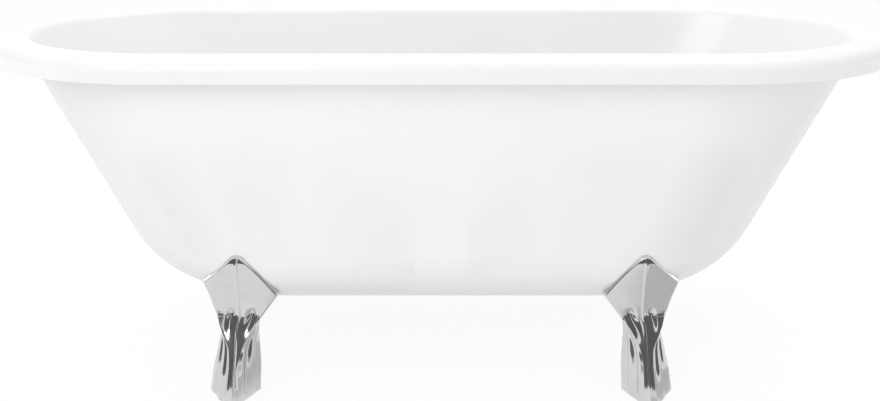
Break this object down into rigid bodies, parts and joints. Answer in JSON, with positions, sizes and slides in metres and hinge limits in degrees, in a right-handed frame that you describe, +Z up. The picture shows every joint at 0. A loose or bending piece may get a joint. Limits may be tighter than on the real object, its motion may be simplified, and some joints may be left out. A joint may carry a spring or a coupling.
{
  "type": "clawfoot bathtub",
  "caption": "Freestanding double-ended roll-top bath with a moulded inner basin and outer skin, on faceted polished feet, with waste, overflow and levelling screws.",
  "frame": {"origin": "on the floor, under the middle of the bath", "axes": "+X along the bath, +Y across it away from the side seen in the picture, +Z up"},
  "size_m": [1.7, 0.755, 0.65],
  "materials": {
    "basin": "high gloss white moulded surface",
    "skin": "high gloss white moulded surface",
    "timber": "planed softwood, unfinished",
    "board": "particle board, unfinished",
    "foot_chrome": "polished chrome plate",
    "chrome_trim": "polished chrome plate",
    "steel": "zinc plated",
    "spring": "drawn stainless wire",
    "brass": "machined",
    "seal": "matte moulded",
    "fibre": "pressed fibre washer",
    "pad": "matte moulded",
    "pipe": "satin moulded",
    "hose": "satin flexible"
  },
  "bodies": {
    "bath": {"base_board": "board", "bearer_left": "timber", "bearer_right": "timber", "board_screws": "steel", "foot_back_left": "foot_chrome", "foot_back_right": "foot_chrome", "foot_bolts": "steel", "foot_front_left": "foot_chrome", "foot_front_right": "foot_chrome", "foot_nuts": "steel", "foot_washers": "steel", "hose_clips": "steel", "inner_shell": "basin", "leveller_locknuts": "steel", "outer_shell": "skin", "overflow_back_seal": "seal", "overflow_body": "pipe", "overflow_cover": "chrome_trim", "overflow_front_seal": "seal", "overflow_hose": "hose", "overflow_ring": "pipe", "overflow_screw": "chrome_trim", "plug_cartridge": "brass", "plug_spring": "spring", "rim_batten": "timber", "rim_screws": "steel", "waste_backnut": "brass", "waste_body": "chrome_trim", "waste_flange_seal": "seal", "waste_lower_seal": "seal", "waste_washer": "fibre"},
    "plug": {"plug_cap": "chrome_trim", "plug_seal": "seal", "plug_stem": "brass"},
    "leveller_front_right": {"leveller_screw_front_right": "steel", "leveller_pad_front_right": "pad"},
    "leveller_front_left": {"leveller_screw_front_left": "steel", "leveller_pad_front_left": "pad"},
    "leveller_back_right": {"leveller_screw_back_right": "steel", "leveller_pad_back_right": "pad"},
    "leveller_back_left": {"leveller_screw_back_left": "steel", "leveller_pad_back_left": "pad"}
  },
  "joints": [
    {"name": "plug_lift", "type": "slide", "parent": "bath", "child": "plug", "axis": [0, 0, 1], "range_m": [0, 0.008], "deforming": ["plug_spring"]},
    {"name": "leveller_front_right_extend", "type": "slide", "parent": "bath", "child": "leveller_front_right", "axis": [0, 0, -1], "range_m": [0, 0.01]},
    {"name": "leveller_front_left_extend", "type": "slide", "parent": "bath", "child": "leveller_front_left", "axis": [0, 0, -1], "range_m": [0, 0.01]},
    {"name": "leveller_back_right_extend", "type": "slide", "parent": "bath", "child": "leveller_back_right", "axis": [0, 0, -1], "range_m": [0, 0.01]},
    {"name": "leveller_back_left_extend", "type": "slide", "parent": "bath", "child": "leveller_back_left", "axis": [0, 0, -1], "range_m": [0, 0.01]}
  ]
}
